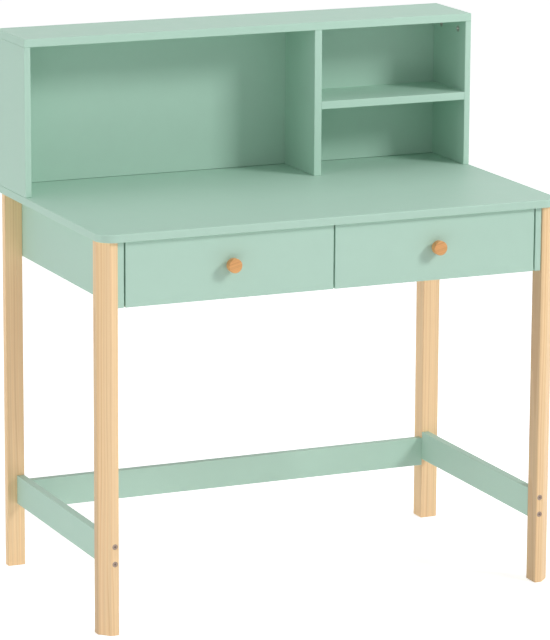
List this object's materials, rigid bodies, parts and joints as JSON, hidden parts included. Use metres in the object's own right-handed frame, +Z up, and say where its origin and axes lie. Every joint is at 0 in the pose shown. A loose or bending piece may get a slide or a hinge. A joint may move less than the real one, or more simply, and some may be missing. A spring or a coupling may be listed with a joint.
{
  "type": "writing desk",
  "caption": "Child's writing desk with pine legs, painted boards, drawers on roller runners and a low open hutch with a shelf.",
  "frame": {"origin": "on the floor, under the middle of the desk's overall box", "axes": "+Z up, +X to the right and +Y to the back of someone sitting at the desk"},
  "size_m": [0.9, 0.537, 1.017],
  "materials": {
    "mint_paint": "satin sprayed paint on fibreboard",
    "pine": "clear matt lacquer on solid pine",
    "knob_wood": "clear lacquer on turned hardwood",
    "drawer_board": "white faced fibreboard",
    "drawer_bottom": "white faced hardboard",
    "zinc_steel": "zinc plated",
    "runner_enamel": "white epoxy powder coat",
    "nylon": "moulded natural nylon",
    "beech": "bare fluted hardwood"
  },
  "bodies": {
    "desk": {"desktop": "mint_paint", "left_apron": "mint_paint", "right_apron": "mint_paint", "back_apron": "mint_paint", "centre_partition": "mint_paint", "left_lower_rail": "mint_paint", "right_lower_rail": "mint_paint", "back_stretcher": "mint_paint", "hutch_top": "mint_paint", "hutch_left_side": "mint_paint", "hutch_right_side": "mint_paint", "hutch_divider": "mint_paint", "hutch_shelf": "mint_paint", "hutch_back": "mint_paint", "front_left_leg": "pine", "front_right_leg": "pine", "back_left_leg": "pine", "back_right_leg": "pine", "left_bay_left_runner": "runner_enamel", "left_bay_right_runner": "runner_enamel", "right_bay_left_runner": "runner_enamel", "right_bay_right_runner": "runner_enamel", "rail_screws": "zinc_steel", "cam_bolts": "zinc_steel", "apron_screws": "zinc_steel", "hutch_screws": "zinc_steel", "cam_locks": "zinc_steel", "dowels": "beech"},
    "left_drawer": {"left_drawer_front": "mint_paint", "left_drawer_left_side": "drawer_board", "left_drawer_right_side": "drawer_board", "left_drawer_back": "drawer_board", "left_drawer_bottom": "drawer_bottom", "left_drawer_knob": "knob_wood", "left_drawer_knob_screw": "zinc_steel", "left_drawer_cam_fittings": "zinc_steel", "left_drawer_dowels": "beech", "left_drawer_left_runner": "runner_enamel", "left_drawer_right_runner": "runner_enamel"},
    "right_drawer": {"right_drawer_front": "mint_paint", "right_drawer_left_side": "drawer_board", "right_drawer_right_side": "drawer_board", "right_drawer_back": "drawer_board", "right_drawer_bottom": "drawer_bottom", "right_drawer_knob": "knob_wood", "right_drawer_knob_screw": "zinc_steel", "right_drawer_cam_fittings": "zinc_steel", "right_drawer_dowels": "beech", "right_drawer_left_runner": "runner_enamel", "right_drawer_right_runner": "runner_enamel"},
    "left_bay_left_roller": {"left_bay_left_roller": "nylon"},
    "left_drawer_left_roller": {"left_drawer_left_roller": "nylon"},
    "left_bay_right_roller": {"left_bay_right_roller": "nylon"},
    "left_drawer_right_roller": {"left_drawer_right_roller": "nylon"},
    "right_bay_left_roller": {"right_bay_left_roller": "nylon"},
    "right_drawer_left_roller": {"right_drawer_left_roller": "nylon"},
    "right_bay_right_roller": {"right_bay_right_roller": "nylon"},
    "right_drawer_right_roller": {"right_drawer_right_roller": "nylon"}
  },
  "joints": [
    {"name": "left_drawer_slide", "type": "slide", "parent": "desk", "child": "left_drawer", "axis": [0, -1, 0], "range_m": [0, 0.32]},
    {"name": "right_drawer_slide", "type": "slide", "parent": "desk", "child": "right_drawer", "axis": [0, -1, 0], "range_m": [0, 0.32]},
    {"name": "left_bay_left_roller_spin", "type": "hinge", "parent": "desk", "child": "left_bay_left_roller", "pos_m": [-0.39765, -0.2185, 0.6182], "axis": [1, 0, 0], "continuous": true},
    {"name": "left_drawer_left_roller_spin", "type": "hinge", "parent": "left_drawer", "child": "left_drawer_left_roller", "pos_m": [-0.39585, 0.2025, 0.6155], "axis": [1, 0, 0], "continuous": true},
    {"name": "left_bay_right_roller_spin", "type": "hinge", "parent": "desk", "child": "left_bay_right_roller", "pos_m": [-0.01435, -0.2185, 0.6182], "axis": [1, 0, 0], "continuous": true},
    {"name": "left_drawer_right_roller_spin", "type": "hinge", "parent": "left_drawer", "child": "left_drawer_right_roller", "pos_m": [-0.01615, 0.2025, 0.6155], "axis": [1, 0, 0], "continuous": true},
    {"name": "right_bay_left_roller_spin", "type": "hinge", "parent": "desk", "child": "right_bay_left_roller", "pos_m": [0.01435, -0.2185, 0.6182], "axis": [1, 0, 0], "continuous": true},
    {"name": "right_drawer_left_roller_spin", "type": "hinge", "parent": "right_drawer", "child": "right_drawer_left_roller", "pos_m": [0.01615, 0.2025, 0.6155], "axis": [1, 0, 0], "continuous": true},
    {"name": "right_bay_right_roller_spin", "type": "hinge", "parent": "desk", "child": "right_bay_right_roller", "pos_m": [0.39765, -0.2185, 0.6182], "axis": [1, 0, 0], "continuous": true},
    {"name": "right_drawer_right_roller_spin", "type": "hinge", "parent": "right_drawer", "child": "right_drawer_right_roller", "pos_m": [0.39585, 0.2025, 0.6155], "axis": [1, 0, 0], "continuous": true}
  ],
  "couplings": [
    {"joint": "left_bay_left_roller_spin", "follows": "left_drawer_slide", "rad_per_m": 125},
    {"joint": "left_drawer_left_roller_spin", "follows": "left_drawer_slide", "rad_per_m": 125},
    {"joint": "left_bay_right_roller_spin", "follows": "left_drawer_slide", "rad_per_m": 125},
    {"joint": "left_drawer_right_roller_spin", "follows": "left_drawer_slide", "rad_per_m": 125},
    {"joint": "right_bay_left_roller_spin", "follows": "right_drawer_slide", "rad_per_m": 125},
    {"joint": "right_drawer_left_roller_spin", "follows": "right_drawer_slide", "rad_per_m": 125},
    {"joint": "right_bay_right_roller_spin", "follows": "right_drawer_slide", "rad_per_m": 125},
    {"joint": "right_drawer_right_roller_spin", "follows": "right_drawer_slide", "rad_per_m": 125}
  ]
}
